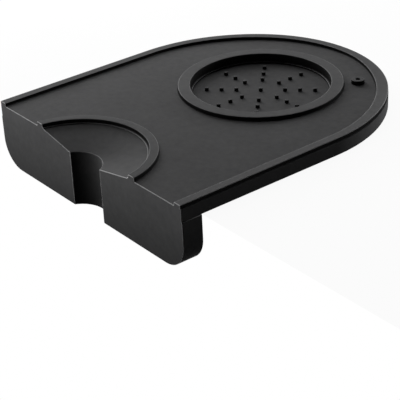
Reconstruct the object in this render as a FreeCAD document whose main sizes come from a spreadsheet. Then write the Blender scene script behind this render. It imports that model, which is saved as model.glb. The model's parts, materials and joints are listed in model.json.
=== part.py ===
import FreeCAD, Part
import math
import os
import Sketcher

# A tamper mat, moulded in one piece from soft silicone. Its top plate lies on a worktop with its
# underside at height 0. An apron hangs over the worktop's front edge, which meets the apron's back
# face at y 0. X runs along the front, y to the back and z up, in millimetres.

SIZES = (
    # The plate, its raised rim and the curve round its back
    ("mat_width", 130.0, "across the plate from side to side"),
    ("mat_depth", 150.0, "from the apron's front face to the back of the plate"),
    ("floor_height", 5.75, "top of the plate's floor above its underside"),
    ("rim_rise", 1.45, "the rim above the floor"),
    ("rim_width", 4.0, "across the rim"),
    ("back_tightening", 3.5, "how much smaller than half the width the back's radius is"),
    ("back_arc_spacing", 7.5, "the side arcs' centres in front of the back arc's centre"),
    # The apron over the worktop's front edge
    ("apron_thickness", 9.8, "front face to back face"),
    ("apron_drop", 23.2, "below the plate's underside"),
    ("apron_corner_radius", 12.3, "lower corners, seen from the front"),
    ("apron_step", 0.4, "how far each end of the apron stands out past the plate"),
    # The round seat that holds the tamper
    ("ring_rise", 1.85, "raised rings and boss above the floor"),
    ("seat_back_gap", 13.4, "between the seat's ring and the rim at the back"),
    ("seat_radius", 31.4, "inside the seat's wall"),
    ("seat_ring_width", 5.6, "across the raised ring round the seat"),
    ("seat_floor_height", 3.0, "the seat's floor above the underside"),
    ("seat_step_rise", 0.75, "narrow ledge at the foot of the seat's wall, above its floor"),
    ("ledge_width", 0.8, "across the ledges at the foot of both walls"),
    # The small studs on the seat's floor, in rings about one in the middle
    ("stud_diameter", 1.8, "each stud"),
    ("stud_height", 1.5, "above the seat's floor"),
    ("stud_first_radius", 10.9, "innermost ring of studs"),
    ("stud_pitch", 6.67, "from one ring of studs to the next"),
    ("studs_in_a_ring", 8, "in each ring of studs"),
    # The half-round rest at the front edge, a shallow dish inside a half ring
    ("rest_centre_ahead", 5.6, "the rest's axis in front of the apron's front face"),
    ("rest_radius", 31.6, "inside the half ring"),
    ("rest_ring_width", 4.0, "across the half ring"),
    ("rest_ledge_drop", 1.5, "ledge below the top of the half ring"),
    ("dish_step", 0.5, "outer edge of the dish below the ledge"),
    ("dish_slope", 11.3, "slope of the dish, in degrees"),
    # The upright channel in the apron, about the rest's axis
    ("channel_radius", 12.1, "half-round channel"),
    # The small boss beside the seat
    ("boss_bearing", 49.2, "way to the boss from the seat's middle, in degrees from the x axis"),
    ("boss_gap", 3.3, "between the seat's ring and the boss"),
    ("boss_diameter", 5.8, "outside"),
    ("boss_hole_diameter", 2.2, "blind hole"),
    ("boss_hole_depth", 4.0, "below the top of the boss"),
    # Rounded edges, by their radius
    ("front_rounding", 0.4, "every edge of the front face"),
    # Small bevelled edges, by how far the bevel goes back on each face
    ("apron_bevel", 0.5, "free edges of the apron's back face"),
    ("rim_bevel", 0.3, "both edges of the rim"),
    ("ring_bevel", 0.35, "both edges of both rings"),
    ("boss_bevel", 0.25, "boss, outer edge"),
)
STUD_RINGS = 3
FULL_TURN = 360
# Cuts run this far past the faces that they go through
OVERRUN = 2.0
# Heights and places closer than this are the same
TOUCH = 1e-4
# Points along an edge that show where it lies, its two ends among them
EDGE_POINTS = 5
# The property that holds the size of each kind of softened edge
SIZE_OF = {"Fillet": "Radius", "Chamfer": "Size"}
# A sketch's own axes, and the points of a line or an arc in it
X_AXIS, Y_AXIS = range(-1, -3, -1)
START, END, CENTRE = range(1, 4)

doc = FreeCAD.newDocument("tamper_mat")
sheet = doc.addObject("Spreadsheet::Sheet", "sizes")
for row, (alias, size, meaning) in enumerate(SIZES, start=1):
    sheet.set(f"A{row}", alias)
    sheet.set(f"B{row}", str(size))
    sheet.set(f"C{row}", meaning)
    sheet.setAlias(f"B{row}", alias)
doc.recompute()

# Formulas on the driving sizes, used by more than one feature
HALF_WIDTH = "(sizes.mat_width / 2)"
FRONT_Y = "-sizes.apron_thickness"
BACK_Y = "(sizes.mat_depth - sizes.apron_thickness)"
RIM_TOP = "(sizes.floor_height + sizes.rim_rise)"
RING_TOP = "(sizes.floor_height + sizes.ring_rise)"
BACK_RADIUS = f"({HALF_WIDTH} - sizes.back_tightening)"
BACK_CENTRE_Y = f"({BACK_Y} - {BACK_RADIUS})"
SIDE_CENTRE_Y = f"({BACK_CENTRE_Y} - sizes.back_arc_spacing)"
SEAT_OUTSIDE = "(sizes.seat_radius + sizes.seat_ring_width)"
SEAT_Y = f"({BACK_Y} - sizes.rim_width - sizes.seat_back_gap - {SEAT_OUTSIDE})"
SEAT_LEDGE = "(sizes.seat_floor_height + sizes.seat_step_rise)"
SEAT_INSIDE = "(sizes.seat_radius - sizes.ledge_width)"
REST_OUTSIDE = "(sizes.rest_radius + sizes.rest_ring_width)"
REST_Y = f"({FRONT_Y} - sizes.rest_centre_ahead)"
REST_LEDGE = f"({RING_TOP} - sizes.rest_ledge_drop)"
REST_INSIDE = "(sizes.rest_radius - sizes.ledge_width)"
DISH_EDGE = f"({REST_LEDGE} - sizes.dish_step)"
BOSS_REACH = f"({SEAT_OUTSIDE} + sizes.boss_gap + sizes.boss_diameter / 2)"
BOSS_X = f"{BOSS_REACH} * cos(sizes.boss_bearing)"
BOSS_Y = f"{SEAT_Y} + {BOSS_REACH} * sin(sizes.boss_bearing)"


def number(formula):
    """The value that a formula on the sheet's sizes has now."""
    return float(sheet.evalExpression(str(formula)))


def origin_plane(body, role):
    return next(part for part in body.Origin.OriginFeatures if part.Role == role)


def new_sketch(body, name, role="XY_Plane", x="0", y="0", z="0"):
    """A sketch on one of the body's own planes, its origin moved in the plane's own axes."""
    sketch = body.newObject("Sketcher::SketchObject", name)
    sketch.AttachmentSupport = (origin_plane(body, role), [""])
    sketch.MapMode = "FlatFace"
    for axis, formula in (("x", x), ("y", y), ("z", z)):
        sketch.setExpression(f".AttachmentOffset.Base.{axis}", str(formula))
    return sketch


def drive(sketch, constraint, formula):
    """Add a dimension to a sketch and tie it to the sheet."""
    index = sketch.addConstraint(constraint)
    sketch.setExpression(f"Constraints[{index}]", formula)


def pin_x(sketch, geometry, point, formula):
    """Set how far right of the sketch's origin a point lies."""
    distance = Sketcher.Constraint("DistanceX", X_AXIS, START, geometry, point, number(formula))
    drive(sketch, distance, formula)


def pin_y(sketch, geometry, point, formula):
    """Set how far above the sketch's origin a point lies."""
    distance = Sketcher.Constraint("DistanceY", X_AXIS, START, geometry, point, number(formula))
    drive(sketch, distance, formula)


def line(start, end):
    return Part.LineSegment(FreeCAD.Vector(*start, 0), FreeCAD.Vector(*end, 0))


def circle(centre, radius):
    return Part.Circle(FreeCAD.Vector(*centre, 0), FreeCAD.Vector(0, 0, 1), radius)


def arc(centre, radius, start, end):
    return Part.ArcOfCircle(circle(centre, radius), start, end)


def circle_sketch(body, name, diameter, x="0", y="0", z="0"):
    """A sketch of one circle about its own origin."""
    sketch = new_sketch(body, name, x=x, y=y, z=z)
    ring = sketch.addGeometry(circle((0, 0), number(diameter) / 2), False)
    sketch.addConstraint(Sketcher.Constraint("Coincident", ring, CENTRE, X_AXIS, START))
    drive(sketch, Sketcher.Constraint("Diameter", ring, number(diameter)), diameter)
    return sketch


def outline_sketch(body, name, inset, front, height):
    """The mat's outline seen from above: straight front and sides, and a back of three arcs."""
    half = number(f"{HALF_WIDTH} - {inset}")
    front_y = number(front)
    back_radius = number(f"{BACK_RADIUS} - {inset}")
    back_y = number(BACK_CENTRE_Y)
    side_y = number(SIDE_CENTRE_Y)
    spacing = number("sizes.back_arc_spacing")
    side_radius = (half ** 2 + spacing ** 2 - back_radius ** 2) / (2 * (half - back_radius))
    turn = math.atan2(spacing, side_radius - half)

    sketch = new_sketch(body, name, z=height)
    sketch.addGeometry([
        line((-half, front_y), (half, front_y)),
        line((half, front_y), (half, side_y)),
        arc((half - side_radius, side_y), side_radius, 0, turn),
        arc((0, back_y), back_radius, turn, math.pi - turn),
        arc((side_radius - half, side_y), side_radius, math.pi - turn, math.pi),
        line((-half, side_y), (-half, front_y)),
    ], False)
    front_line, right_line, right_arc, back_arc, left_arc, left_line = range(6)
    sketch.addConstraint([
        Sketcher.Constraint("Coincident", front_line, END, right_line, START),
        Sketcher.Constraint("Tangent", right_line, END, right_arc, START),
        Sketcher.Constraint("Tangent", right_arc, END, back_arc, START),
        Sketcher.Constraint("Tangent", back_arc, END, left_arc, START),
        Sketcher.Constraint("Tangent", left_arc, END, left_line, START),
        Sketcher.Constraint("Coincident", left_line, END, front_line, START),
        Sketcher.Constraint("Vertical", right_line),
        Sketcher.Constraint("Vertical", left_line),
        Sketcher.Constraint("Symmetric", front_line, START, front_line, END, Y_AXIS),
        Sketcher.Constraint("PointOnObject", back_arc, CENTRE, Y_AXIS),
        Sketcher.Constraint("Equal", right_arc, left_arc),
    ])
    pin_x(sketch, right_line, START, f"{HALF_WIDTH} - {inset}")
    pin_y(sketch, front_line, START, front)
    pin_y(sketch, back_arc, CENTRE, BACK_CENTRE_Y)
    pin_y(sketch, right_arc, CENTRE, SIDE_CENTRE_Y)
    drive(sketch, Sketcher.Constraint("Radius", back_arc, back_radius), f"{BACK_RADIUS} - {inset}")
    return sketch


def pad(body, name, sketch, length):
    feature = body.newObject("PartDesign::Pad", name)
    feature.Profile = sketch
    feature.setExpression("Length", length)
    doc.recompute()
    return feature


def pocket(body, name, sketch, depth):
    """Cut a sketch down into the body, to a depth below the sketch."""
    before = body.Shape.Volume
    feature = body.newObject("PartDesign::Pocket", name)
    feature.Profile = sketch
    feature.setExpression("Length", depth)
    doc.recompute()
    check_cut(name, before, body)


def check_cut(name, before, body):
    if not body.Shape.Volume < before:
        raise RuntimeError(f"{name} cuts nothing")


def soften_edges(body, kind, name, size, test):
    """Fillet or chamfer every edge of the body whose points between its ends all pass a test."""
    base = body.Tip
    names = []
    for index, edge in enumerate(base.Shape.Edges, start=1):
        if edge.Degenerated:
            continue
        between = edge.discretize(EDGE_POINTS)[1:-1]
        if all(test(point) for point in between):
            names.append(f"Edge{index}")
    feature = body.newObject(f"PartDesign::{kind}", name)
    feature.Base = (base, names)
    feature.setExpression(SIZE_OF[kind], size)
    doc.recompute()


def at(value, target):
    return abs(value - target) < TOUCH


def add_apron(body):
    """The apron, drawn on its back face and padded forwards, its back face's free edges bevelled."""
    end = f"{HALF_WIDTH} + sizes.apron_step"
    half = number(end)
    low = -number("sizes.apron_drop")
    radius = number("sizes.apron_corner_radius")
    sketch = new_sketch(body, "apron_outline", role="XZ_Plane")
    sketch.addGeometry([
        line((half, 0), (-half, 0)),
        line((-half, 0), (-half, low + radius)),
        arc((-half + radius, low + radius), radius, math.pi, 1.5 * math.pi),
        line((-half + radius, low), (half - radius, low)),
        arc((half - radius, low + radius), radius, 1.5 * math.pi, 2 * math.pi),
        line((half, low + radius), (half, 0)),
    ], False)
    top, left, left_corner, bottom, right_corner, right = range(6)
    sketch.addConstraint([
        Sketcher.Constraint("Coincident", top, END, left, START),
        Sketcher.Constraint("Tangent", left, END, left_corner, START),
        Sketcher.Constraint("Tangent", left_corner, END, bottom, START),
        Sketcher.Constraint("Tangent", bottom, END, right_corner, START),
        Sketcher.Constraint("Tangent", right_corner, END, right, START),
        Sketcher.Constraint("Coincident", right, END, top, START),
        Sketcher.Constraint("Horizontal", bottom),
        Sketcher.Constraint("Vertical", left),
        Sketcher.Constraint("Symmetric", top, START, top, END, Y_AXIS),
        Sketcher.Constraint("PointOnObject", top, START, X_AXIS),
        Sketcher.Constraint("Equal", left_corner, right_corner),
    ])
    pin_x(sketch, right, END, end)
    pin_y(sketch, bottom, START, "-sizes.apron_drop")
    drive(sketch, Sketcher.Constraint("Radius", left_corner, radius), "sizes.apron_corner_radius")
    pad(body, "apron", sketch, "sizes.apron_thickness")
    soften_edges(body, "Chamfer", "apron_back_edges", "sizes.apron_bevel",
                 lambda point: at(point.y, 0) and point.z < -TOUCH)


def add_plate(body):
    """The flat plate with its floor sunk inside the rim, both edges of the rim's top bevelled."""
    top, front = number(RIM_TOP), number(FRONT_Y)
    outline = outline_sketch(body, "plate_outline", "0", FRONT_Y, "0")
    pad(body, "plate", outline, RIM_TOP)
    floor = outline_sketch(body, "floor_outline", "sizes.rim_width", f"{FRONT_Y} - {OVERRUN}", RIM_TOP)
    pocket(body, "floor", floor, "sizes.rim_rise")
    soften_edges(body, "Chamfer", "rim_edges", "sizes.rim_bevel",
                 lambda point: at(point.z, top) and not at(point.y, front))


def add_rest(body):
    """The half ring at the front edge, with a ledge and a conical dish turned out of it."""
    front, centre = number(FRONT_Y), number(REST_Y)
    outside = number(REST_OUTSIDE)
    turn = math.asin((front - centre) / outside)
    half = outside * math.cos(turn)
    sketch = new_sketch(body, "half_ring_outline", z="sizes.floor_height")
    curve, chord = sketch.addGeometry([
        arc((0, centre), outside, turn, math.pi - turn),
        line((-half, front), (half, front)),
    ], False)
    sketch.addConstraint([
        Sketcher.Constraint("Coincident", curve, END, chord, START),
        Sketcher.Constraint("Coincident", chord, END, curve, START),
        Sketcher.Constraint("PointOnObject", curve, CENTRE, Y_AXIS),
        Sketcher.Constraint("Horizontal", chord),
    ])
    pin_y(sketch, curve, CENTRE, REST_Y)
    pin_y(sketch, chord, START, FRONT_Y)
    drive(sketch, Sketcher.Constraint("Radius", curve, outside), REST_OUTSIDE)
    pad(body, "half_ring", sketch, "sizes.ring_rise")
    turn_dish(body)


def turn_dish(body):
    """Cut the rest's wall, ledge and dish with one half section about the rest's upright axis."""
    wall, inner = number("sizes.rest_radius"), number(REST_INSIDE)
    ledge, edge = number(REST_LEDGE), number(DISH_EDGE)
    lid_height = f"{RING_TOP} + {OVERRUN}"
    above = number(lid_height)
    angle = math.radians(number("sizes.dish_slope"))
    lowest = edge - inner * math.tan(angle)
    corners = [(0, above), (0, lowest), (inner, edge), (inner, ledge), (wall, ledge), (wall, above)]
    ends = corners[1:] + corners[:1]
    sketch = new_sketch(body, "dish_section", role="YZ_Plane", x=REST_Y)
    sides = sketch.addGeometry([line(start, end) for start, end in zip(corners, ends)], False)
    for side, following in zip(sides, sides[1:] + sides[:1]):
        sketch.addConstraint(Sketcher.Constraint("Coincident", side, END, following, START))
    middle, slope, step, shelf, upright, lid = sides
    sketch.addConstraint([
        Sketcher.Constraint("PointOnObject", middle, START, Y_AXIS),
        Sketcher.Constraint("PointOnObject", middle, END, Y_AXIS),
        Sketcher.Constraint("Vertical", step),
        Sketcher.Constraint("Horizontal", shelf),
        Sketcher.Constraint("Vertical", upright),
        Sketcher.Constraint("Horizontal", lid),
    ])
    pin_x(sketch, step, START, REST_INSIDE)
    pin_x(sketch, upright, START, "sizes.rest_radius")
    pin_y(sketch, step, START, DISH_EDGE)
    pin_y(sketch, shelf, START, REST_LEDGE)
    pin_y(sketch, lid, START, lid_height)
    drive(sketch, Sketcher.Constraint("Angle", X_AXIS, START, slope, START, angle), "sizes.dish_slope")
    before = body.Shape.Volume
    dish = body.newObject("PartDesign::Groove", "dish")
    dish.Profile = sketch
    dish.ReferenceAxis = (sketch, ["V_Axis"])
    dish.Angle = FULL_TURN
    doc.recompute()
    check_cut("dish", before, body)


def add_seat(body):
    """The raised ring and its recess, with a narrow ledge at the foot of the wall."""
    ring = circle_sketch(body, "seat_ring_circle", f"2 * {SEAT_OUTSIDE}", y=SEAT_Y, z="sizes.floor_height")
    pad(body, "seat_ring", ring, "sizes.ring_rise")
    wall = circle_sketch(body, "seat_wall_circle", "2 * sizes.seat_radius", y=SEAT_Y, z=RING_TOP)
    pocket(body, "seat_wall", wall, f"{RING_TOP} - {SEAT_LEDGE}")
    floor = circle_sketch(body, "seat_floor_circle", f"2 * {SEAT_INSIDE}", y=SEAT_Y, z=SEAT_LEDGE)
    pocket(body, "seat_floor", floor, "sizes.seat_step_rise")
    add_studs(body)


def add_studs(body):
    """One stud in the middle of the seat's floor, and a row of them repeated round it."""
    middle = circle_sketch(body, "middle_stud_circle", "sizes.stud_diameter",
                           y=SEAT_Y, z="sizes.seat_floor_height")
    pad(body, "middle_stud", middle, "sizes.stud_height")
    row = new_sketch(body, "stud_row_circles", y=SEAT_Y, z="sizes.seat_floor_height")
    diameter = number("sizes.stud_diameter")
    for ring in range(STUD_RINGS):
        distance = f"sizes.stud_first_radius + {ring} * sizes.stud_pitch"
        stud = row.addGeometry(circle((number(distance), 0), diameter / 2), False)
        row.addConstraint(Sketcher.Constraint("PointOnObject", stud, CENTRE, X_AXIS))
        pin_x(row, stud, CENTRE, distance)
        drive(row, Sketcher.Constraint("Diameter", stud, diameter), "sizes.stud_diameter")
    spoke = pad(body, "stud_row", row, "sizes.stud_height")
    pattern = body.newObject("PartDesign::PolarPattern", "studs")
    pattern.Originals = [spoke]
    pattern.Axis = (row, ["N_Axis"])
    pattern.Angle = FULL_TURN
    pattern.setExpression("Occurrences", "sizes.studs_in_a_ring")
    body.Tip = pattern
    doc.recompute()


def add_channel(body):
    """The upright half-round channel, through the dish and down the whole apron."""
    top = f"{RING_TOP} + {OVERRUN}"
    round_hole = circle_sketch(body, "channel_circle", "2 * sizes.channel_radius", y=REST_Y, z=top)
    pocket(body, "channel", round_hole, f"{top} + sizes.apron_drop + {OVERRUN}")


def add_boss(body):
    """The small boss beside the seat, with a blind hole."""
    outside = circle_sketch(body, "boss_circle", "sizes.boss_diameter",
                            x=BOSS_X, y=BOSS_Y, z="sizes.floor_height")
    pad(body, "boss", outside, "sizes.ring_rise")
    hole = circle_sketch(body, "boss_hole_circle", "sizes.boss_hole_diameter",
                         x=BOSS_X, y=BOSS_Y, z=RING_TOP)
    pocket(body, "boss_hole", hole, "sizes.boss_hole_depth")


def soften_rings(body):
    """Bevel the top edges of the two rings and the outer top edge of the boss."""
    top, front = number(RING_TOP), number(FRONT_Y)
    boss = FreeCAD.Vector(number(BOSS_X), number(BOSS_Y), top)
    outside = number("sizes.boss_diameter / 2") + TOUCH
    hole = number("sizes.boss_hole_diameter / 2") + TOUCH
    soften_edges(body, "Chamfer", "ring_edges", "sizes.ring_bevel",
                 lambda point: at(point.z, top) and not at(point.y, front)
                 and point.distanceToPoint(boss) > outside)
    soften_edges(body, "Chamfer", "boss_edge", "sizes.boss_bevel",
                 lambda point: at(point.z, top) and hole < point.distanceToPoint(boss) < outside)


def soften_front(body):
    """Round every edge of the front face."""
    front = number(FRONT_Y)
    soften_edges(body, "Fillet", "front_edges", "sizes.front_rounding", lambda point: at(point.y, front))


def build_mat():
    body = doc.addObject("PartDesign::Body", "tamper_mat")
    body.Label = "tamper_mat"
    add_apron(body)
    add_plate(body)
    add_rest(body)
    add_seat(body)
    add_channel(body)
    add_boss(body)
    soften_rings(body)
    soften_front(body)
    return body


def check(parts):
    """Stop unless every object is sound and every piece is one valid solid."""
    for item in doc.Objects:
        if "Invalid" in item.State or "Error" in item.State:
            raise RuntimeError(f"{item.Name} is not sound: {item.State}")
    for part in parts:
        shape = part.Shape
        if shape.isNull() or not shape.isValid() or len(shape.Solids) != 1:
            raise RuntimeError(f"{part.Label} is not one valid solid")


mat = build_mat()
doc.recompute()
check([mat])
os.makedirs("parts", exist_ok=True)
mat.Shape.exportStep(f"parts/{mat.Label}.step")
box = mat.Shape.optimalBoundingBox(False)
print(f"{mat.Label}: {box.XLength:.2f} x {box.YLength:.2f} x {box.ZLength:.2f} mm, "
      f"volume {mat.Shape.Volume / 1000:.2f} ml, {len(mat.Shape.Faces)} faces")
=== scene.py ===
import json
import math

import bmesh
import bpy
from mathutils import Matrix, Quaternion, Vector


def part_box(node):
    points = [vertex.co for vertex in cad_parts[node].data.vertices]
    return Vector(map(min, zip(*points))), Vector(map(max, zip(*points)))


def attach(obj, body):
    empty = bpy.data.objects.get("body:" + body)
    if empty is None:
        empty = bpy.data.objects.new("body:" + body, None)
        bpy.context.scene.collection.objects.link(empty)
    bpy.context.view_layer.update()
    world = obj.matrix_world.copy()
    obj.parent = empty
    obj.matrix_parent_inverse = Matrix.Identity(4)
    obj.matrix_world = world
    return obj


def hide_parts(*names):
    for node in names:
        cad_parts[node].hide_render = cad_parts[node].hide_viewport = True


bl_info = {
    "name": "Tamper mat",
    "version": (1, 0, 0),
    "blender": (4, 5, 0),
    "location": "3D View > Sidebar > Tamper mat",
    "description": "A one-piece silicone tamper mat with its finish, and a plain studio to show it in",
    "category": "Object",
}

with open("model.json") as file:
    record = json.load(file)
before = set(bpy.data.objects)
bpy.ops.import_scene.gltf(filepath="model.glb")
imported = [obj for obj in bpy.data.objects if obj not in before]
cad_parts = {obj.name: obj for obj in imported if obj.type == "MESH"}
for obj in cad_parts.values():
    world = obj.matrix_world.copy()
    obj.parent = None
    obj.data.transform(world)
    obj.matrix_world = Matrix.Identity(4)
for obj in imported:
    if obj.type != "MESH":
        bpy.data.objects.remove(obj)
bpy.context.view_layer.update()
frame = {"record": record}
LOW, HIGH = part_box("tamper_mat")
MOUNTS = {mount["name"]: mount for mount in frame["record"]["mounts"]}
MM = 0.001
# Points nearer to each other than this are one point
WELD = 1e-6
# Edges with this radius or a smaller one get the most painted highlight
TIGHT = 0.16 * MM
# The painted shade in the darkest place of a wall's foot, and what the next point of that arc stays below
FOOT, NEAR_FOOT = -1.0, -0.5
# The painted shade at the top of a wall that has a foot, and on the first points of the edge there
WALL_SHADE = (0.95, 0.8, 0.4)
# How much of the painted lightening the rim's top has beside its edges, as a painted highlight, and between
# them
BESIDE, BETWEEN = 0.8, 0.2
# The painted highlight is full on this much of the depth of the front's rounded edges
FRONT_HIGHLIGHT = 0.8
# How far the groove's lips and the flat side below are from its middle, in depths of the groove
GROOVE_LIP, GROOVE_FLAT = 1.5, 4
# Steps round each arc of an edge, of the apron's corners, and of the studs and the boss
EDGE_STEPS, CORNER_STEPS, SMALL_STEPS = 5, 16, 4
# Steps along the outline's side and back arcs, round the rest, the seat, each stud and the boss
SIDE_STEPS, BACK_STEPS, REST_STEPS, SEAT_STEPS, STUD_STEPS, BOSS_STEPS = 20, 36, 44, 160, 24, 48
# Steps across the rounded edges of the apron's front and back
FRONT_EDGE_STEPS, BACK_EDGE_STEPS = 4, 3
# The studs round the one in the middle
STUD_RINGS, STUDS_IN_RING = 3, 8
# Faces that meet at less than the first angle are one flat. The back's edges are rounded where they
# meet at more than the second, and an edge looks sharp where they meet at more than the third
FLAT, TURNS, SHARP = math.radians(1), math.radians(20), math.radians(40)
# The sheet lies this far under the plate, so that the two never meet
WORKTOP_GAP = 0.1 * MM
# Each lamp's place from the middle of the mat and its width, in metres, and its setting
LAMPS = {
    "window_lamp": ((-0.60, 0.70, 0.35), 0.5, "window"),
    "lamp_above": ((-0.50, 0.30, 0.80), 0.6, "above"),
    "near_lamp": ((-0.42, 0.10, 0.16), 0.2, "near"),
    "lamp_behind": ((0.14, 0.95, 0.06), 0.3, "behind"),
    "lamp_below": ((-0.50, -0.42, -0.12), 0.6, "below"),
}
# Nearest and furthest that the camera sees, in metres
CLIP = (0.01, 20)


def smooth(part):
    """A smooth step from 0 to 1, and flat outside that range."""
    part = min(max(part, 0), 1)
    return part * part * (3 - 2 * part)


def length(name, description, millimetres):
    """A property that holds a length, given in millimetres and kept in metres."""
    return bpy.props.FloatProperty(
        name=name, description=description, default=millimetres * MM, unit="LENGTH", precision=5)


def share(name, description, value):
    """A property that holds a share from 0 to 1."""
    return bpy.props.FloatProperty(name=name, description=description, default=value, min=0, max=1,
                                   subtype="FACTOR")


def watts(name, description, value):
    """A property that holds a lamp's power."""
    return bpy.props.FloatProperty(name=name, description=description, default=value, min=0, unit="POWER")


def colour(name, description, value):
    """A property that holds a colour, in linear light."""
    return bpy.props.FloatVectorProperty(name=name, description=description, default=value, size=3,
                                         min=0, max=1, subtype="COLOR")


class MatSizes(bpy.types.PropertyGroup):
    """The moulding's sizes that the frame's box and mounts don't give."""

    apron_step: length("Apron step", "How far each end of the apron stands out past the plate", 0.4)
    apron_corner: length("Apron corner", "Radius of the apron's lower corners", 12.3)
    floor_drop: length("Floor drop", "Plate's floor below the top of the rings", 1.85)
    rim_drop: length("Rim drop", "Top of the rim below the top of the rings", 0.4)
    rim_width: length("Rim width", "Across the rim", 4.0)
    inset: length("Rim's inset", "How far the rim's inner edge is set in at the back of the right side", 1.3)
    inset_side: length("Side inset", "How far the rim is set in where the right side's curve begins", 0.9)
    inset_front: length("Front inset", "How far the rim is set in at the front of the right side", 0.4)
    inset_widest: bpy.props.FloatProperty(name="Inset's widest place", default=math.radians(55),
                                          description="Angle round the back from the right side",
                                          subtype="ANGLE")
    # Width of the painted highlight beside each edge of the rim
    highlight_band_width: length("Rub width", "Beside each edge of the rim, where hands rub it most", 1.0)
    groove: length("Groove", "Depth of the fine groove round the side, under the rim", 0.2)
    groove_drop: length("Groove drop", "The groove's middle below the top of the rim", 1.4)
    back_tightening: length("Back tightening", "Back radius less than half the width", 3.5)
    arc_spacing: length("Arc spacing", "Side arcs' centres in front of the back arc's centre", 7.5)
    seat_radius: length("Seat radius", "Inside the seat's wall", 31.4)
    seat_ring: length("Seat ring", "Across the ring round the seat", 5.6)
    seat_floor: length("Seat floor", "Height of the seat's floor", 3.0)
    seat_ledge: length("Seat ledge", "Height of the ledge at the foot of the seat's wall", 3.75)
    ledge_width: length("Ledge width", "Across the ledge at the foot of both walls", 0.8)
    stud_radius: length("Stud radius", "Each small stud on the seat's floor", 0.9)
    stud_height: length("Stud height", "Above the seat's floor", 1.5)
    stud_first: length("First studs", "Radius of the innermost ring of studs", 10.9)
    stud_pitch: length("Stud pitch", "From one ring of studs to the next", 6.67)
    rest_ahead: length("Rest ahead", "The rest's axis in front of the apron", 5.6)
    rest_radius: length("Rest radius", "Inside the half ring", 31.6)
    rest_ring: length("Rest ring", "Across the half ring", 4.0)
    rest_ledge_drop: length("Rest ledge drop", "Ledge below the top of the half ring", 1.5)
    dish_step: length("Dish step", "Outer edge of the dish below the ledge", 0.5)
    dish_slope: bpy.props.FloatProperty(name="Dish slope", description="Fall of the dish to its middle",
                                        default=math.radians(11.3), subtype="ANGLE")
    # Painted light over the dish, and painted shade down the channel
    dish_light: share("Dish wear", "How much the basket has rubbed the dish", 0.03)
    channel_shade: share("Channel shade", "How much darker the channel is", 0.25)
    channel_radius: length("Channel radius", "Half-round channel in the apron", 12.1)
    boss_radius: length("Boss radius", "Outside of the boss", 2.9)
    boss_depth: length("Boss hole depth", "Below the top of the boss", 4.0)


class MatEdges(bpy.types.PropertyGroup):
    """How softly the moulding's edges and corners turn."""

    rim: length("Rim", "Both edges of the rim", 0.35)
    top: length("Rings", "Both edges of the rings", 0.5)
    foot: length("Feet", "Corners where walls meet the plate's floor", 0.4)
    ledge: length("Ledges", "Corners of the narrow ledges", 0.35)
    stud: length("Studs", "Tops of the studs", 0.4)
    channel: length("Channel", "Upper and lower edges of the channel", 0.35)
    stud_foot: length("Studs' feet", "Corners where the studs meet the seat's floor", 0.15)
    boss: length("Boss", "Edges and foot of the boss, and bottom of its hole", 0.3)
    # How much lighter the tops are painted: the rim's most at its right, with a painted highlight beside its
    # edges, and the rings' a little
    lighten: share("Rub", "How much hands rub the tops of the rim, most at its right, and of the rings", 0.07)
    front: length("Front", "Edges of the front face, less than the edges that end there", 0.3)
    back: length("Apron back", "Edges of the apron's back face", 0.3)
    step: length("Apron step", "Edge of the step at each end of the apron", 0.35)


def settings():
    """The mat's properties, which the scene keeps."""
    return bpy.context.scene.tamper_mat


def rounded(corners, steps=EDGE_STEPS):
    """Turn each corner (out, height, radius) of a line that runs inwards over the mat into an arc.

    Each point is [out, height, wear]. A painted highlight rises towards 1 on an edge, the more the tighter
    its arc.
    Painted shade is -1 at the foot of a wall and nearly that up the wall.
    """
    points = [[*corners[0][:2], 0.0]]
    for before, (out, height, radius), after in zip(corners, corners[1:-1], corners[2:]):
        corner = Vector((out, height))
        if not radius:
            points.append([out, height, 0.0])
            continue
        back = (Vector(before[:2]) - corner).normalized()
        on = (Vector(after[:2]) - corner).normalized()
        half = back.angle(on) / 2
        centre = corner + (back + on).normalized() * (radius / math.sin(half))
        start = corner + back * (radius / math.tan(half)) - centre
        sweep = start.angle_signed(corner + on * (radius / math.tan(half)) - centre)
        outer, wall_first = back.cross(on) < 0, abs(back.y) > abs(on.y)
        for step in range(steps + 1):
            point = centre + Matrix.Rotation(-sweep * step / steps, 2) @ start
            along = step / steps
            if outer:
                wear = min(1.0, TIGHT / radius) * math.sin(math.pi * along)
            else:
                wear = FOOT * math.sin(math.pi / 2 * (1 - along if wall_first else along))
            points.append([*point, wear])
    points.append([*corners[-1][:2], 0.0])
    # Painted shade carried from each wall's foot up the wall and onto the first points of its top edge
    for place, (point, following) in enumerate(zip(points, points[1:])):
        if min(point[2], following[2]) == FOOT and max(point[2], following[2]) > NEAR_FOOT:
            edge = points[place::-1] if following[2] == FOOT else points[place + 1:]
            for painted_edge, shade in zip(edge, WALL_SHADE):
                painted_edge[2] = min(painted_edge[2], -shade)
    return points


def skin(mesh, rows, profile, closed=False):
    """Faces between each row of points and the next, one row for each point of a profile.

    A row of one point ends in a fan.
    """
    wear = mesh.verts.layers.float["wear"]
    made = [[mesh.verts.new(point) for point in row] for row in rows]
    for row, point in zip(made, profile):
        for vert in row:
            vert[wear] = point[2]
    for row, following in zip(made, made[1:]):
        count = len(row)
        for place in range(count if closed else count - 1):
            after = (place + 1) % count
            if len(following) == 1:
                mesh.faces.new((row[place], row[after], following[0]))
            else:
                mesh.faces.new((row[place], row[after], following[after], following[place]))


def turned(mesh, profile, centre, count):
    """Turn a profile of [radius, height, painted light] points all the way round an upright axis."""
    rows = []
    for radius, height, _ in profile:
        angles = [math.tau * step / count for step in range(count)] if radius > WELD else [0.0]
        rows.append([(centre[0] + radius * math.cos(angle), centre[1] + radius * math.sin(angle), height)
                     for angle in angles])
    skin(mesh, rows, profile, closed=True)


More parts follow.
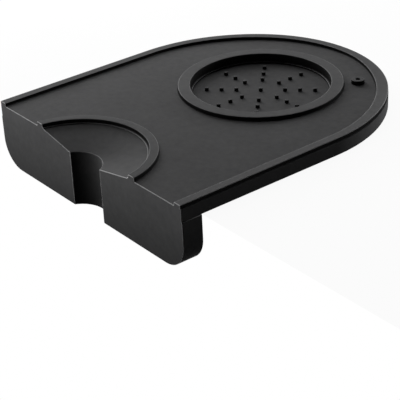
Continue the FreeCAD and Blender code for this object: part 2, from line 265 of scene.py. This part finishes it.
def open_edges(mesh, axis, value):
    """Edges with a face on one side only that lie in one plane across an axis."""
    return [edge for edge in mesh.edges if len(edge.link_faces) < 2
            and all(abs(vert.co[axis] - value) < WELD for vert in edge.verts)]


def weld(mesh):
    """Make points that lie together one point."""
    bmesh.ops.remove_doubles(mesh, verts=mesh.verts, dist=WELD)


def join_ends(mesh, points):
    """Edges that join the first point to the second, the third to the fourth and so on."""
    ends = [min(mesh.verts, key=lambda vert: (vert.co - Vector(point)).length) for point in points]
    for start, end in zip(ends[::2], ends[1::2]):
        if mesh.edges.get((start, end)) is None:
            mesh.edges.new((start, end))


def fill(mesh, axis, value):
    """Close the flat between all the open edges in one plane, holes left open."""
    made = bmesh.ops.triangle_fill(mesh, use_beauty=True, edges=open_edges(mesh, axis, value))
    faces = {face for face in made["geom"] if isinstance(face, bmesh.types.BMFace)}
    inside = [edge for edge in mesh.edges
              if len(edge.link_faces) == 2 and faces.issuperset(edge.link_faces)]
    bmesh.ops.dissolve_limit(mesh, angle_limit=FLAT, edges=inside, verts=[])


class Moulding:
    """The mat's surfaces, one function for each, all in one mesh."""

    def __init__(self, sizes, edges):
        self.sizes, self.edges = sizes, edges
        self.mesh = bmesh.new()
        self.wear = self.mesh.verts.layers.float.new("wear")
        self.half = HIGH.x - sizes.apron_step
        self.front, self.back = LOW.y, HIGH.y
        self.bottom, self.top = LOW.z, HIGH.z
        self.floor = self.top - sizes.floor_drop
        self.rest_y = self.front - sizes.rest_ahead
        # Flat beside a rounded foot before the wide floor begins
        self.margin = 2 * edges.foot

    def inner_inset(self, angle):
        """How far the rim's inner edge is set in at an angle round the plate, from its right side on."""
        sizes = self.sizes
        rise = math.sin(min(angle / sizes.inset_widest, 1) * math.pi / 2)
        width = sizes.inset_side + (sizes.inset - sizes.inset_side) * rise
        return width * (1 - smooth((angle - sizes.inset_widest) / (math.pi / 2 - sizes.inset_widest)))

    def outer_inset(self, angle):
        """The same for the rim's outer edge, which comes back to the plate's side sooner."""
        return self.sizes.inset_side * (1 - smooth(angle / self.sizes.inset_widest))

    def outline(self, out, inset=None):
        """The plate's outline from above, so far out from its side, from the right corner to the left.

        An inset moves its right side in, by a width that depends on the angle.
        """
        sizes = self.sizes
        back_radius = self.half - sizes.back_tightening
        back_y = self.back - back_radius
        side_y = back_y - sizes.arc_spacing
        side_radius = ((self.half ** 2 + sizes.arc_spacing ** 2 - back_radius ** 2)
                       / (2 * (self.half - back_radius)))
        turn = math.atan2(sizes.arc_spacing, side_radius - self.half)
        arcs = ((self.half - side_radius, side_y, side_radius + out, 0, turn, SIDE_STEPS),
                (0, back_y, back_radius + out, turn, math.pi - turn, BACK_STEPS),
                (side_radius - self.half, side_y, side_radius + out, math.pi - turn, math.pi, SIDE_STEPS))
        corner = self.half + out - (sizes.inset_front if inset else 0)
        points = [(corner, self.front), (corner, 0.0)]
        for x, y, radius, start, end, count in arcs:
            for step in range(count):
                angle = start + (end - start) * step / count
                reach = radius - (inset(angle) if inset else 0)
                points.append((x + reach * math.cos(angle), y + reach * math.sin(angle)))
        points.append((-self.half - out, side_y))
        return points + [(-self.half - out, 0.0), (-self.half - out, self.front)]

    def lighten_top(self, profile):
        """The flat top of a ring painted a little lighter."""
        for point in profile:
            if abs(point[1] - self.top) < WELD:
                point[2] = self.edges.lighten / 2

    def rim(self):
        """The plate's side, the rim's top and its inner wall, down to the floor."""
        sizes, edges = self.sizes, self.edges
        top = self.top - sizes.rim_drop
        line = top - sizes.groove_drop
        lip = GROOVE_LIP * sizes.groove
        profile = rounded([
            (0, 0, 0), (0, line - GROOVE_FLAT * sizes.groove, 0), (0, line - lip, 0),
            (-sizes.groove, line, 0), (0, line + lip, 0), (0, top, edges.rim),
            (-sizes.highlight_band_width, top, 0), (sizes.highlight_band_width - sizes.rim_width, top, 0),
            (-sizes.rim_width, top, edges.rim),
            (-sizes.rim_width, self.floor, edges.foot), (-sizes.rim_width - self.margin, self.floor, 0)])
        rows = []
        for point in profile:
            out, height, _ = point
            # The side below the groove isn't set in
            inset = self.outer_inset if height > line - WELD else None
            if out < -sizes.rim_width / 2:
                inset = self.inner_inset
            rows.append([(x, y, height) for x, y in self.outline(out, inset)])
            # Painted highlight beside the rim's edges, and a little painted lightening between them
            if abs(height - top) < WELD:
                beside = min(-out, out + sizes.rim_width) < sizes.highlight_band_width - WELD
                point[2] = edges.lighten * (BESIDE if beside else BETWEEN)
        # Painted shade from the groove's middle up to the start of the rim's edge
        for point in profile[3:6]:
            point[2] = FOOT
        skin(self.mesh, rows, profile)
        # The rim's top painted lighter towards the right side
        for vert in self.mesh.verts:
            if abs(vert.co.z - top) < WELD:
                vert[self.wear] += edges.lighten * max(0.0, vert.co.x / self.half)

    def rest(self):
        """The half ring, its ledge, the dish and the channel, turned about one axis to the front face."""
        sizes, edges = self.sizes, self.edges
        inner = sizes.rest_radius - sizes.ledge_width
        outer = sizes.rest_radius + sizes.rest_ring
        ledge = self.top - sizes.rest_ledge_drop
        dish = ledge - sizes.dish_step
        low = dish - (inner - sizes.channel_radius) * math.tan(sizes.dish_slope)
        profile = rounded([
            (outer + self.margin, self.floor, 0), (outer, self.floor, edges.foot),
            (outer, self.top, edges.top), (sizes.rest_radius, self.top, edges.top),
            (sizes.rest_radius, ledge, edges.ledge), (inner, ledge, edges.ledge), (inner, dish, 0),
            (sizes.channel_radius, low, edges.channel), (sizes.channel_radius, self.bottom, edges.channel),
            (sizes.channel_radius + self.margin, self.bottom, 0)])
        # A little painted light over the dish, and painted shade down the channel
        for point in profile:
            if abs(point[0] - sizes.channel_radius) < WELD:
                point[2] = -sizes.channel_shade
            elif low - WELD < point[1] < dish + WELD:
                point[2] = max(point[2], sizes.dish_light)
        self.lighten_top(profile)
        rows = []
        for radius, height, _ in profile:
            start = math.asin(sizes.rest_ahead / radius)
            angles = [start + (math.pi - 2 * start) * step / REST_STEPS for step in range(REST_STEPS + 1)]
            rows.append([(radius * math.cos(angle), self.rest_y + radius * math.sin(angle), height)
                         for angle in angles])
        skin(self.mesh, rows, profile)

    def apron_end(self, side):
        """One end of the apron, from its bottom round the lower corner to the step under the plate."""
        sizes, edges = self.sizes, self.edges
        profile = rounded([
            (HIGH.x - sizes.apron_corner - self.margin, self.bottom, 0),
            (HIGH.x, self.bottom, sizes.apron_corner), (HIGH.x, 0, edges.step),
            (self.half, 0, 0)], CORNER_STEPS)
        rows = [[(side * x, y, z) for y in (self.front, 0.0)] for x, z, _ in profile]
        skin(self.mesh, rows, profile)

    def seat(self):
        """The ring round the seat, the wall, the ledge and the step down to the seat's floor."""
        sizes, edges = self.sizes, self.edges
        wall, centre = sizes.seat_radius, MOUNTS["tamper_seat"]["pos_m"]
        inner, outer = wall - sizes.ledge_width, wall + sizes.seat_ring
        profile = rounded([
            (outer + self.margin, self.floor, 0), (outer, self.floor, edges.foot),
            (outer, self.top, edges.top), (wall, self.top, edges.top),
            (wall, sizes.seat_ledge, edges.ledge), (inner, sizes.seat_ledge, edges.ledge),
            (inner, sizes.seat_floor, edges.ledge), (inner - self.margin, sizes.seat_floor, 0)])
        self.lighten_top(profile)
        turned(self.mesh, profile, centre, SEAT_STEPS)
        self.studs(centre)

    def studs(self, centre):
        """One small stud in the seat's middle and three rings of eight round it."""
        sizes, edges = self.sizes, self.edges
        places = [(0.0, 0.0)]
        for ring in range(STUD_RINGS):
            radius = sizes.stud_first + ring * sizes.stud_pitch
            places += [(radius, math.tau * stud / STUDS_IN_RING) for stud in range(STUDS_IN_RING)]
        top = sizes.seat_floor + sizes.stud_height
        profile = rounded([
            (sizes.stud_radius + 2 * edges.stud_foot, sizes.seat_floor, 0),
            (sizes.stud_radius, sizes.seat_floor, edges.stud_foot),
            (sizes.stud_radius, top, edges.stud), (0, top, 0)], SMALL_STEPS)
        for radius, angle in places:
            place = (centre[0] + radius * math.cos(angle), centre[1] + radius * math.sin(angle))
            turned(self.mesh, profile, place, STUD_STEPS)

    def boss(self):
        """The small boss beside the seat, with its blind hole."""
        sizes, edges = self.sizes, self.edges
        mount = MOUNTS["boss_hole"]
        hole = mount["dims"]["r_mm"] * MM
        bottom = self.top - sizes.boss_depth
        profile = rounded([
            (sizes.boss_radius + self.margin, self.floor, 0), (sizes.boss_radius, self.floor, edges.boss),
            (sizes.boss_radius, self.top, edges.boss), (hole, self.top, edges.boss),
            (hole, bottom, edges.boss), (0, bottom, 0)], SMALL_STEPS)
        turned(self.mesh, profile, mount["pos_m"], BOSS_STEPS)

    def flats(self):
        """The plate's floor and underside, the seat's floor and the apron's bottom and back."""
        mesh, sizes = self.mesh, self.sizes
        weld(mesh)
        inner = self.half - sizes.rim_width - self.margin
        outer = self.front_reach(sizes.rest_radius + sizes.rest_ring + self.margin)
        bottom_out = HIGH.x - sizes.apron_corner - self.margin
        bottom_in = self.front_reach(sizes.channel_radius + self.margin)
        front, floor, bottom = self.front, self.floor, self.bottom
        join_ends(mesh, [(inner - sizes.inset_front, front, floor), (outer, front, floor),
                         (-inner, front, floor), (-outer, front, floor),
                         (bottom_out, front, bottom), (bottom_in, front, bottom),
                         (-bottom_out, front, bottom), (-bottom_in, front, bottom),
                         (bottom_out, 0, bottom), (-bottom_out, 0, bottom),
                         (self.half, 0, 0), (-self.half, 0, 0)])
        for height in (floor, sizes.seat_floor, bottom, 0.0):
            fill(mesh, 2, height)
        fill(mesh, 1, 0.0)

    def front_reach(self, radius):
        """How far right of the middle a circle about the rest's axis meets the front face."""
        return math.sqrt(radius ** 2 - self.sizes.rest_ahead ** 2)

    def front_face(self):
        """The front, a face each side of the channel, all its edges rounded, and the apron's back edges."""
        mesh = self.mesh
        made = bmesh.ops.edgeloop_fill(mesh, edges=open_edges(mesh, 1, self.front))
        bmesh.ops.recalc_face_normals(mesh, faces=mesh.faces)
        around = [edge for face in made["faces"] for edge in face.edges]
        bmesh.ops.bevel(mesh, geom=around, offset=self.edges.front, offset_type="OFFSET",
                        segments=FRONT_EDGE_STEPS, profile=0.5, affect="EDGES", clamp_overlap=False)
        for vert in mesh.verts:
            depth = vert.co.y - self.front
            # The flat gets no painted highlight, and its rounded edge gets it but for its outermost points
            if depth < FRONT_HIGHLIGHT * self.edges.front:
                vert[self.wear] = 1.0 if depth > WELD else 0.0
        back = [edge for edge in mesh.edges if all(abs(vert.co.y) < WELD and vert.co.z < WELD
                                                   for vert in edge.verts)
                and any(vert.co.z < -WELD for vert in edge.verts) and self.turns(edge)]
        bmesh.ops.bevel(mesh, geom=back, offset=self.edges.back, offset_type="OFFSET",
                        segments=BACK_EDGE_STEPS, profile=0.5, affect="EDGES", clamp_overlap=False)

    @staticmethod
    def turns(edge):
        """Whether the surface bends at an edge."""
        return len(edge.link_faces) == 2 and edge.calc_face_angle(0) > TURNS

    def build(self):
        """All the surfaces as one closed mesh."""
        self.rim()
        self.rest()
        for side in (1, -1):
            self.apron_end(side)
        self.seat()
        self.boss()
        self.flats()
        self.front_face()
        loose = [edge for edge in self.mesh.edges if len(edge.link_faces) != 2]
        if loose:
            raise RuntimeError(f"the mat's surface is open at {len(loose)} edges")
        bmesh.ops.recalc_face_normals(self.mesh, faces=self.mesh.faces)
        data = bpy.data.meshes.new("mat")
        self.mesh.to_mesh(data)
        self.mesh.free()
        data.shade_smooth()
        data.set_sharp_from_angle(angle=SHARP)
        return data


class Value:
    """A shader socket that stands in Python expressions and adds Math nodes to them."""

    def __init__(self, shader, socket):
        self.shader, self.socket = shader, socket

    def maths(self, operation, *operands):
        """Add one Math node to the expression."""
        return self.shader.node("ShaderNodeMath", {"operation": operation}, dict(enumerate(operands)))

    def at_most(self, most):
        return self.maths("MINIMUM", self, most)

    def at_least(self, least):
        return self.maths("MAXIMUM", self, least)

    def __add__(self, other):
        return self.maths("ADD", self, other)

    def __sub__(self, other):
        return self.maths("SUBTRACT", self, other)

    def __rsub__(self, other):
        return self.maths("SUBTRACT", other, self)

    def __mul__(self, other):
        return self.maths("MULTIPLY", self, other)

    __radd__ = __add__
    __rmul__ = __mul__


class Shader:
    """The nodes of one material or world."""

    def __init__(self, owner):
        owner.use_nodes = True
        self.tree = owner.node_tree
        self.tree.nodes.clear()

    def node(self, kind, settings=None, inputs=None, output=0):
        """Add a node: its settings first, then each socket's value or the link to it."""
        node = self.tree.nodes.new(kind)
        for name, value in (settings or {}).items():
            setattr(node, name, value)
        for name, value in (inputs or {}).items():
            if isinstance(value, Value):
                self.tree.links.new(value.socket, node.inputs[name])
            else:
                node.inputs[name].default_value = value
        return Value(self, node.outputs[output]) if node.outputs else node

    def noise(self, place, size, detail, roughness):
        """Soft noise from 0 to 1, with patches of about that size."""
        return self.node("ShaderNodeTexNoise", inputs={
            "Vector": place, "Scale": 1 / size, "Detail": detail, "Roughness": roughness})

    def blend(self, amount, start, end):
        """From one colour to another; each may be a colour or a socket."""
        colours = [part if isinstance(part, Value) else (*part, 1.0) for part in (start, end)]
        return self.node("ShaderNodeMix", {"data_type": "RGBA"},
                         {"Factor": amount, "A": colours[0], "B": colours[1]}, "Result")


def silicone():
    """Matt black silicone: mottled, smudged and finely grained, with painted highlights on its edges, and
    painted shade in its corners, up its walls and down the apron.
    """
    finish = settings().finish
    material = bpy.data.materials.new("matt_black_silicone")
    shader = Shader(material)
    place = shader.node("ShaderNodeTexCoord", output="Object")
    mottle = shader.noise(place, finish.mottle_size, detail=5.0, roughness=0.7)
    smudge = shader.noise(place, finish.smudge_size, detail=3.0, roughness=0.6)
    grain = shader.noise(place, finish.grain_size, detail=2.0, roughness=0.5)
    wear = shader.node("ShaderNodeAttribute", {"attribute_name": "wear"}, output="Fac")
    # The painted light is above 0 for a painted highlight on edges, and below 0 for painted shade in corners
    # and up walls
    # The painted highlight's share on the edges, which also sets their coat
    edge = wear.at_least(0) * finish.edge_highlight
    corner = (0 - wear).at_least(0) * finish.corner_painted_shade
    patch = mottle + (smudge - 0.5) * finish.smudging
    skin_colour = shader.blend(patch, finish.dark, finish.light)
    highlit_colour = shader.blend(edge, skin_colour, finish.painted_edge)
    # Painted shade: the apron darker towards its bottom, added to the corners' painted shade
    height = shader.node("ShaderNodeSeparateXYZ", inputs={"Vector": place}, output="Z")
    lower = ((finish.fade_from - height) * (finish.fade / (finish.fade_from - LOW.z))).at_least(0)
    body = shader.blend((corner + lower).at_most(1), highlit_colour, finish.painted_shade)
    roughness = finish.roughness + (mottle - 0.5) * finish.gloss_change
    bump = shader.node("ShaderNodeBump", inputs={
        "Strength": finish.grain_strength, "Distance": finish.grain_height, "Height": grain})
    surface = shader.node("ShaderNodeBsdfPrincipled", inputs={
        "Base Color": body, "Roughness": roughness, "Specular IOR Level": finish.gloss,
        "Coat Weight": edge * finish.edge_polish, "Coat Roughness": finish.polish_roughness, "Normal": bump})
    shader.node("ShaderNodeOutputMaterial", inputs={"Surface": surface})
    return material


def seen(shader):
    """1 where the camera, a reflection or a clear material looks, and 0 for the light itself."""
    rays = [shader.node("ShaderNodeLightPath", output=name)
            for name in ("Is Camera Ray", "Is Glossy Ray", "Is Transmission Ray")]
    return (rays[0] + rays[1] + rays[2]).at_most(1)


class SiliconeFinish(bpy.types.PropertyGroup):
    """The silicone's colours, gloss and grain."""

    dark: colour("Dark", "Darkest of the mottled colour", (0.048, 0.048, 0.049))
    light: colour("Light", "Lightest of the mottled colour", (0.086, 0.086, 0.087))
    # Colour of the painted highlight on the rounded edges
    painted_edge: colour("Worn", "Colour of the edges where hands and tools rub them", (0.500, 0.500, 0.505))
    # Colour of the painted shade in corners, up walls and towards the apron's bottom
    painted_shade: colour("Shaded", "Colour in the corners that are never rubbed", (0.005, 0.005, 0.005))
    edge_highlight: share("Edge wear", "How much of the worn colour the edges show", 0.8)
    edge_polish: share("Edge polish", "How much of a polish rubbing gives the edges", 0.12)
    polish_roughness: share("Polish roughness", "How matt that polish is", 0.5)
    corner_painted_shade: share("Corner shade", "How much of the shaded colour the corners show", 1.0)
    # Painted shade that darkens the apron downwards from this height, and how much at its bottom
    fade_from: length("Fade from", "Height where the apron begins to darken downwards", 5.0)
    fade: share("Fade", "How much of the shaded colour the apron's bottom shows", 0.65)
    roughness: share("Roughness", "How matt the skin is", 0.75)
    gloss: share("Gloss", "How strongly the skin reflects", 0.015)
    gloss_change: share("Gloss change", "How much the roughness varies with the mottling", 0.12)
    mottle_size: length("Mottle size", "Across the soft patches in the colour", 22.0)
    smudge_size: length("Smudge size", "Across the small smudges in the colour", 3.0)
    smudging: share("Smudging", "How strongly the smudges show beside the patches", 0.7)
    grain_size: length("Grain size", "Across the fine grain of the moulded skin", 0.55)
    grain_height: length("Grain height", "Height of the fine grain", 0.05)
    grain_strength: share("Grain strength", "How much of the grain shows", 0.6)


class Studio(bpy.types.PropertyGroup):
    """The worktop, the lamps and the camera."""

    worktop: colour("Worktop", "The plain pale worktop", (0.80, 0.80, 0.80))
    backdrop: share("Backdrop", "How much of the white backdrop shows in the worktop", 0.94)
    worktop_reach: length("Worktop reach", "How far the worktop runs to each side and back", 2500.0)
    ambient: share("Ambient", "Brightness of the room on the mat", 0.002)
    window: watts("Window lamp", "The soft lamp behind on the left", 3.2)
    above: watts("Lamp above", "The large lamp overhead", 3.6)
    near: watts("Near lamp", "The small low lamp close by on the left", 1.9)
    behind: watts("Lamp behind", "The lamp that skims the worktop from behind", 9.0)
    below: watts("Lamp below", "The lamp below the worktop, in front on the left", 6.3)
    target: bpy.props.FloatVectorProperty(name="Target", default=(0.05596, 0.00639, 0.0),
                                          description="Point on the worktop in the view's middle",
                                          subtype="TRANSLATION", unit="LENGTH", precision=5)
    distance: length("Camera distance", "From the camera to the target", 539.38)
    azimuth: bpy.props.FloatProperty(name="Azimuth", description="Camera's turn to the right of the front",
                                     default=math.radians(52.898), subtype="ANGLE")
    elevation: bpy.props.FloatProperty(name="Elevation", description="Camera's height above the horizon",
                                       default=math.radians(28.942), subtype="ANGLE")
    roll: bpy.props.FloatProperty(name="Roll", description="Camera's turn about its own axis",
                                  default=math.radians(-2.92), subtype="ANGLE")
    lens: bpy.props.FloatProperty(name="Lens", description="Focal length on a 36 mm wide frame",
                                  default=124.62, min=1, unit="CAMERA")


class TamperMat(bpy.types.PropertyGroup):
    """Everything about the mat and its studio that a user may change."""

    sizes: bpy.props.PointerProperty(type=MatSizes)
    edges: bpy.props.PointerProperty(type=MatEdges)
    finish: bpy.props.PointerProperty(type=SiliconeFinish)
    studio: bpy.props.PointerProperty(type=Studio)


class TAMPERMAT_OT_mould(bpy.types.Operator):
    """Make the mat's one moulding, with every edge softened, and give it its silicone"""

    bl_idname = "tamper_mat.mould"
    bl_label = "Mould the mat"

    def execute(self, context):
        data = Moulding(settings().sizes, settings().edges).build()
        data.materials.append(silicone())
        mat = bpy.data.objects.new("mat", data)
        context.scene.collection.objects.link(mat)
        # Keeps each flat looking flat up to its rounded edges
        mat.modifiers.new("flats", "WEIGHTED_NORMAL").keep_sharp = True
        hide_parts("tamper_mat")
        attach(mat, "root")
        return {"FINISHED"}


class TAMPERMAT_OT_studio(bpy.types.Operator):
    """Make the pale worktop that the mat hangs on, the soft lamps and the camera"""

    bl_idname = "tamper_mat.studio"
    bl_label = "Set up the studio"

    def execute(self, context):
        self.worktop(context.scene)
        self.world(context.scene)
        self.lamps(context.scene)
        self.camera(context.scene)
        context.scene.view_settings.view_transform = "Standard"
        return {"FINISHED"}

    def worktop(self, scene):
        """A sheet under the plate that ends at the apron; it takes shadows and is clear from below."""
        studio = settings().studio
        reach = studio.worktop_reach
        data = bpy.data.meshes.new("worktop")
        corners = ((-reach, 0), (reach, 0), (reach, reach), (-reach, reach))
        data.from_pydata([(x, y, -WORKTOP_GAP) for x, y in corners], [], [(0, 1, 2, 3)])
        material = bpy.data.materials.new("pale_worktop")
        shader = Shader(material)
        pale = shader.node("ShaderNodeBsdfDiffuse", inputs={"Color": (*studio.worktop, 1)})
        white = shader.node("ShaderNodeEmission", inputs={"Color": (1, 1, 1, 1), "Strength": 1.0})
        lifted = shader.node("ShaderNodeMixShader", inputs={
            0: seen(shader) * studio.backdrop, 1: pale, 2: white})
        clear = shader.node("ShaderNodeBsdfTransparent")
        under = shader.node("ShaderNodeNewGeometry", output="Backfacing")
        surface = shader.node("ShaderNodeMixShader", inputs={0: under, 1: lifted, 2: clear})
        shader.node("ShaderNodeOutputMaterial", inputs={"Surface": surface})
        data.materials.append(material)
        sheet = bpy.data.objects.new("worktop", data)
        sheet.visible_diffuse = sheet.visible_shadow = False
        scene.collection.objects.link(sheet)

    def world(self, scene):
        """White where the world is seen, and a low even light on the mat."""
        world = bpy.data.worlds.new("white_room")
        shader = Shader(world)
        light, white = (
            shader.node("ShaderNodeBackground", inputs={"Color": (1, 1, 1, 1), "Strength": level})
            for level in (settings().studio.ambient, 1.0))
        surface = shader.node("ShaderNodeMixShader", inputs={0: seen(shader), 1: light, 2: white})
        shader.node("ShaderNodeOutputWorld", inputs={"Surface": surface})
        scene.world = world

    def lamps(self, scene):
        """Square soft lamps that face the middle of the mat."""
        middle = (LOW + HIGH) / 2
        for name, (place, size, setting) in LAMPS.items():
            data = bpy.data.lights.new(name, "AREA")
            data.size, data.energy = size, getattr(settings().studio, setting)
            lamp = bpy.data.objects.new(name, data)
            lamp.location = middle + Vector(place)
            lamp.rotation_euler = Vector(place).to_track_quat("Z", "Y").to_euler()
            scene.collection.objects.link(lamp)

    def camera(self, scene):
        """A camera that looks at the target from the photograph's side."""
        studio = settings().studio
        level = math.cos(studio.elevation)
        back = Vector((math.sin(studio.azimuth) * level, -math.cos(studio.azimuth) * level,
                       math.sin(studio.elevation)))
        data = bpy.data.cameras.new("camera")
        data.lens = studio.lens
        data.clip_start, data.clip_end = CLIP
        camera = bpy.data.objects.new("camera", data)
        camera.location = Vector(studio.target) + back * studio.distance
        turn = back.to_track_quat("Z", "Y") @ Quaternion((0, 0, 1), studio.roll)
        camera.rotation_euler = turn.to_euler()
        scene.collection.objects.link(camera)
        scene.camera = camera


class TAMPERMAT_PT_panel(bpy.types.Panel):
    """The mat's sizes, finish and studio, with a button for each step"""

    bl_label = "Tamper mat"
    bl_idname = "TAMPERMAT_PT_panel"
    bl_space_type = "VIEW_3D"
    bl_region_type = "UI"
    bl_category = "Tamper mat"

    def draw(self, context):
        mat = context.scene.tamper_mat
        for title, group, step in (("Sizes", mat.sizes, None), ("Edges", mat.edges, None),
                                   ("Finish", mat.finish, TAMPERMAT_OT_mould),
                                   ("Studio", mat.studio, TAMPERMAT_OT_studio)):
            box = self.layout.box()
            box.label(text=title)
            for name in group.__annotations__:
                box.prop(group, name)
            if step:
                box.operator(step.bl_idname)


CLASSES = (MatSizes, MatEdges, SiliconeFinish, Studio, TamperMat,
           TAMPERMAT_OT_mould, TAMPERMAT_OT_studio, TAMPERMAT_PT_panel)


def register():
    for kind in CLASSES:
        bpy.utils.register_class(kind)
    bpy.types.Scene.tamper_mat = bpy.props.PointerProperty(type=TamperMat)


def unregister():
    del bpy.types.Scene.tamper_mat
    for kind in reversed(CLASSES):
        bpy.utils.unregister_class(kind)


def main():
    register()
    bpy.ops.tamper_mat.mould()
    bpy.ops.tamper_mat.studio()


if __name__ == "__main__":
    main()
